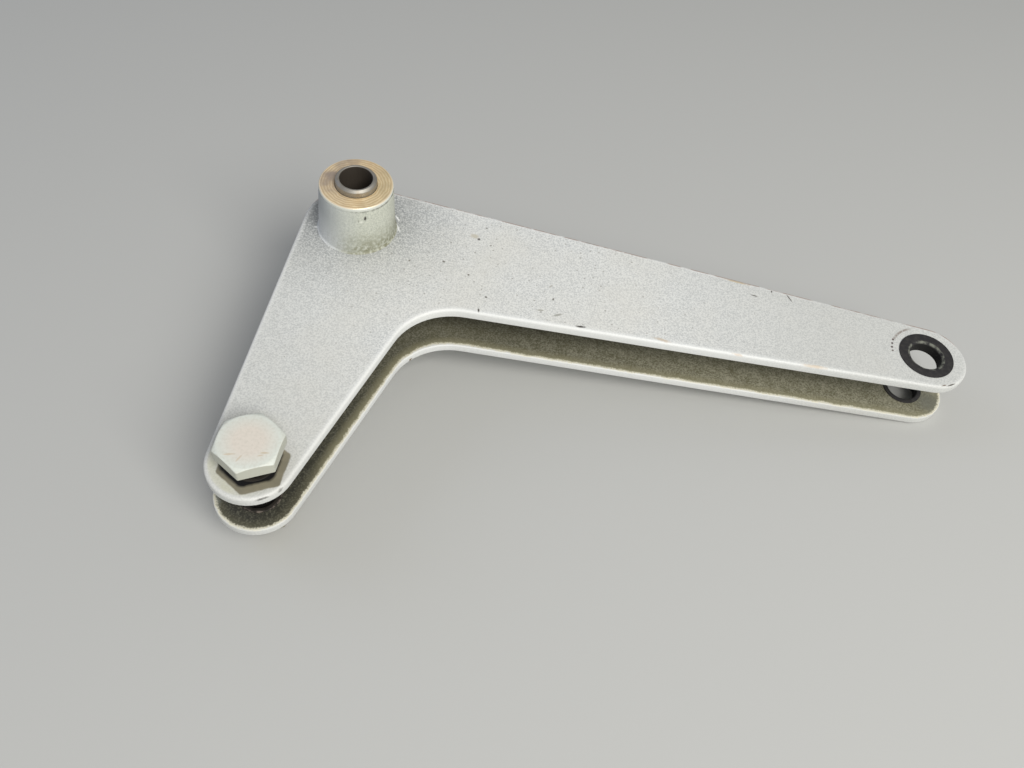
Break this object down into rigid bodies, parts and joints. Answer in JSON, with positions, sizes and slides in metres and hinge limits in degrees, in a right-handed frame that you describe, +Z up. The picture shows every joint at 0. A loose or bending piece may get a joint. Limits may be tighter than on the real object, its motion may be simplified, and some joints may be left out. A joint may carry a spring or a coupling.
{
  "type": "aircraft control bellcrank",
  "caption": "L-shaped control bellcrank of parallel painted plates on a bushed pivot tube, with a clevis bolt in the short arm and bushed holes in the long arm.",
  "frame": {"origin": "on the pivot axis, midway between the two plates", "axes": "+Z up the pivot axis towards the bolt's head, +X along the long arm, -Y along the short arm"},
  "size_m": [0.1713, 0.0968, 0.0484],
  "materials": {
    "plate_paint": "satin, light grey paint with worn edges",
    "bronze": "machined bronze, dulled",
    "sleeve_steel": "ground",
    "black_bushing": "matte",
    "bushing_steel": "dull, stained",
    "bolt_paint": "scuffed cream-white paint",
    "hardware_steel": "plated, dulled",
    "nylon": "matte"
  },
  "bodies": {
    "crank": {"upper_plate": "plate_paint", "lower_plate": "plate_paint", "pivot_tube": "plate_paint", "upper_pivot_bushing": "bronze", "lower_pivot_bushing": "bronze", "upper_end_bushing": "black_bushing", "lower_end_bushing": "black_bushing", "upper_bolt_bushing": "bushing_steel", "lower_bolt_bushing": "bushing_steel"},
    "sleeve": {"pivot_sleeve": "sleeve_steel"},
    "washer": {"bolt_washer": "hardware_steel"},
    "bolt": {"clevis_bolt": "bolt_paint", "lock_nut": "hardware_steel", "nut_insert": "nylon"}
  },
  "joints": [
    {"name": "sleeve_spin", "type": "hinge", "parent": "crank", "child": "sleeve", "pos_m": [0, 0, 0], "axis": [0, 0, 1], "continuous": true},
    {"name": "bolt_float", "type": "slide", "parent": "crank", "child": "washer", "axis": [0, 0, 1], "range_m": [-0.00365, 0.00025]},
    {"name": "bolt_spin", "type": "hinge", "parent": "washer", "child": "bolt", "pos_m": [-0.0005, -0.0721, 0], "axis": [0, 0, 1], "continuous": true}
  ]
}
